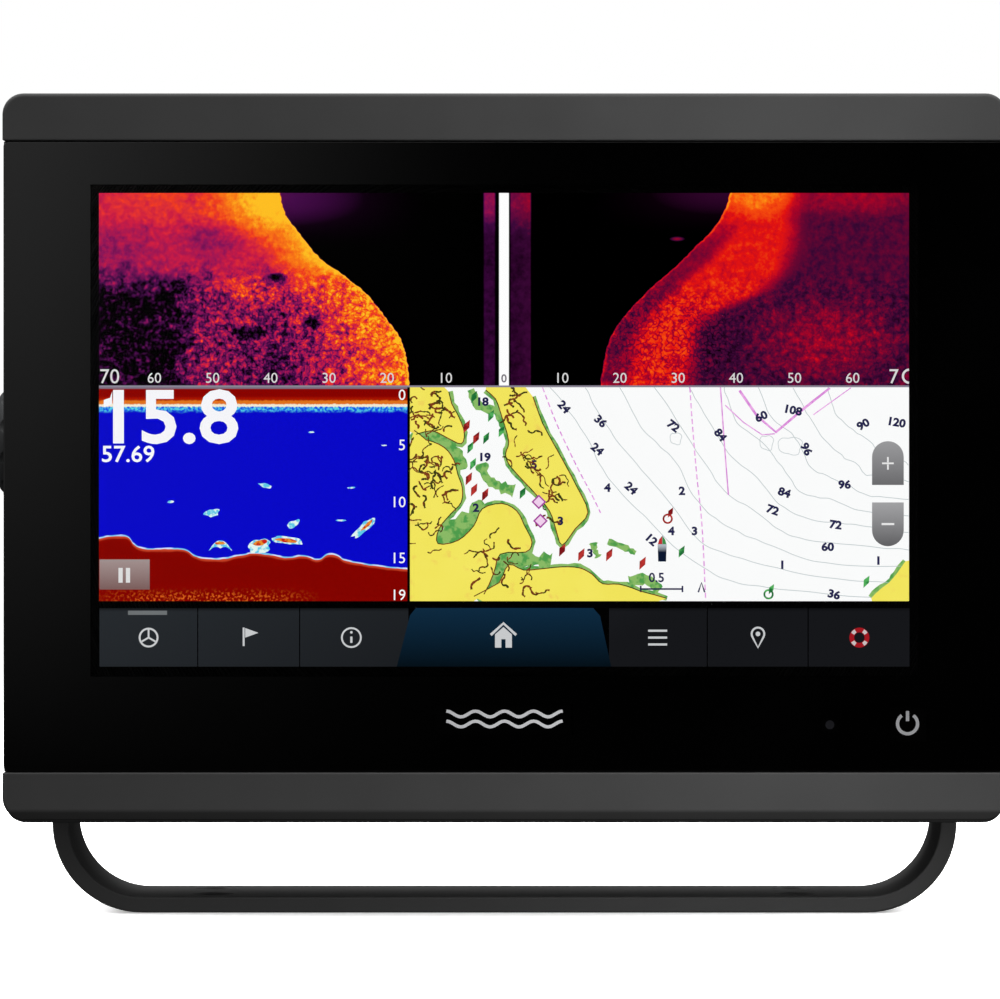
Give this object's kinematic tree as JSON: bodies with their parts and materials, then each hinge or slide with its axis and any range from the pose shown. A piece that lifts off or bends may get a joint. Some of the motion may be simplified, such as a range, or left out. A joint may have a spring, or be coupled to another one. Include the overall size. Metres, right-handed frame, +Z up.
{
  "type": "chartplotter display",
  "caption": "Flat marine chartplotter display with a full glass front, held between two clamp knobs on a U-shaped bail mount; it tilts, and its sockets and card door are at the back.",
  "frame": {"origin": "centre of the bail's foot, on its bottom mounting face", "axes": "+Z up, the screen faces -Y, +X is the viewer's right; the unit is drawn upright"},
  "size_m": [0.1974, 0.0716, 0.1564],
  "materials": {
    "bail_plastic": "fine moulded grain",
    "trim_plastic": "smooth satin",
    "frame_plastic": "fine moulded grain",
    "housing_plastic": "spark-eroded grain",
    "cover_glass": "polished, black printed border",
    "touch_film": "clear",
    "lcd_glass": "dark polariser",
    "light_guide": "clear acrylic with white dots",
    "gasket_rubber": "soft matte",
    "knob_rubber": "fine matte",
    "silicone_pad": "soft matte",
    "led_strip": "white board with phosphor lamps",
    "flex_polyimide": "amber film",
    "solder_mask": "green solder mask",
    "chip_black": "moulded epoxy",
    "connector_plastic": "ivory nylon",
    "insert_plastic": "glass-filled nylon",
    "tinned_steel": "tinned",
    "stainless_steel": "passivated",
    "chassis_aluminium": "clear chromate",
    "capacitor_can": "bare drawn can",
    "ferrite": "dull sintered",
    "patch_ceramic": "fired, silvered top",
    "brass": "machined",
    "gold_pins": "gold plated",
    "wire_jacket": "satin PVC",
    "vent_plastic": "smooth",
    "card_plastic": "smooth"
  },
  "bodies": {
    "bail": {"bail_bracket": "bail_plastic"},
    "display_unit": {"cover_glass": "cover_glass", "touch_sensor": "touch_film", "touch_flex": "flex_polyimide", "glass_adhesive": "gasket_rubber", "front_frame": "frame_plastic", "top_trim": "trim_plastic", "bottom_trim": "trim_plastic", "lcd_panel": "lcd_glass", "light_guide": "light_guide", "backlight_strip": "led_strip", "lcd_tray": "tinned_steel", "lcd_flex": "flex_polyimide", "key_board": "solder_mask", "light_sensor": "chip_black", "key_flex": "flex_polyimide", "display_chassis": "chassis_aluminium", "main_board": "solder_mask", "processor": "chip_black", "thermal_pad": "silicone_pad", "memory_chips": "chip_black", "shield_cans": "tinned_steel", "board_connectors": "connector_plastic", "board_screws": "stainless_steel", "antenna_board": "solder_mask", "antenna_patch": "patch_ceramic", "antenna_cable": "wire_jacket", "sonar_board": "solder_mask", "board_spacers": "brass", "board_header": "chip_black", "sonar_transformers": "ferrite", "power_capacitors": "capacitor_can", "buzzer": "chip_black", "network_socket": "stainless_steel", "transducer_socket": "stainless_steel", "power_socket": "stainless_steel", "socket_inserts": "insert_plastic", "socket_pins": "gold_pins", "socket_seals": "gasket_rubber", "socket_nuts": "stainless_steel", "socket_wires": "wire_jacket", "card_reader": "tinned_steel", "card_door_pin": "stainless_steel", "rear_housing": "housing_plastic", "housing_seal": "gasket_rubber", "housing_screws": "stainless_steel", "pivot_inserts": "brass", "friction_washers": "gasket_rubber", "vent_plug": "vent_plastic"},
    "left_clamp_slide": {"left_knob_washer": "stainless_steel"},
    "left_clamp_turn": {"left_knob": "knob_rubber", "left_knob_stud": "stainless_steel"},
    "right_clamp_slide": {"right_knob_washer": "stainless_steel"},
    "right_clamp_turn": {"right_knob": "knob_rubber", "right_knob_stud": "stainless_steel"},
    "door": {"card_door": "housing_plastic", "card_door_seal": "gasket_rubber"},
    "upper_card": {"memory_card_upper": "card_plastic"},
    "lower_card": {"memory_card_lower": "card_plastic"}
  },
  "joints": [
    {"name": "tilt", "type": "hinge", "parent": "bail", "child": "display_unit", "pos_m": [0, 0, 0.0906], "axis": [-1, 0, 0], "range_deg": [-8, 60]},
    {"name": "left_knob_travel", "type": "slide", "parent": "display_unit", "child": "left_clamp_slide", "axis": [-1, 0, 0], "range_m": [0, 0.004]},
    {"name": "left_knob_turn", "type": "hinge", "parent": "left_clamp_slide", "child": "left_clamp_turn", "pos_m": [0, 0, 0.0906], "axis": [-1, 0, 0], "range_deg": [0, 1440]},
    {"name": "right_knob_travel", "type": "slide", "parent": "display_unit", "child": "right_clamp_slide", "axis": [1, 0, 0], "range_m": [0, 0.004]},
    {"name": "right_knob_turn", "type": "hinge", "parent": "right_clamp_slide", "child": "right_clamp_turn", "pos_m": [0, 0, 0.0906], "axis": [1, 0, 0], "range_deg": [0, 1440]},
    {"name": "card_door_hinge", "type": "hinge", "parent": "display_unit", "child": "door", "pos_m": [0.0356, 0.0218, 0.11], "axis": [0, 0, 1], "range_deg": [0, 110]},
    {"name": "upper_card_push", "type": "slide", "parent": "display_unit", "child": "upper_card", "axis": [0, 1, 0], "range_m": [-0.0008, 0.004]},
    {"name": "lower_card_push", "type": "slide", "parent": "display_unit", "child": "lower_card", "axis": [0, 1, 0], "range_m": [-0.0008, 0.004]}
  ],
  "couplings": [
    {"joint": "left_knob_travel", "follows": "left_knob_turn", "m_per_rad": 0.00015915},
    {"joint": "right_knob_travel", "follows": "right_knob_turn", "m_per_rad": 0.00015915}
  ]
}
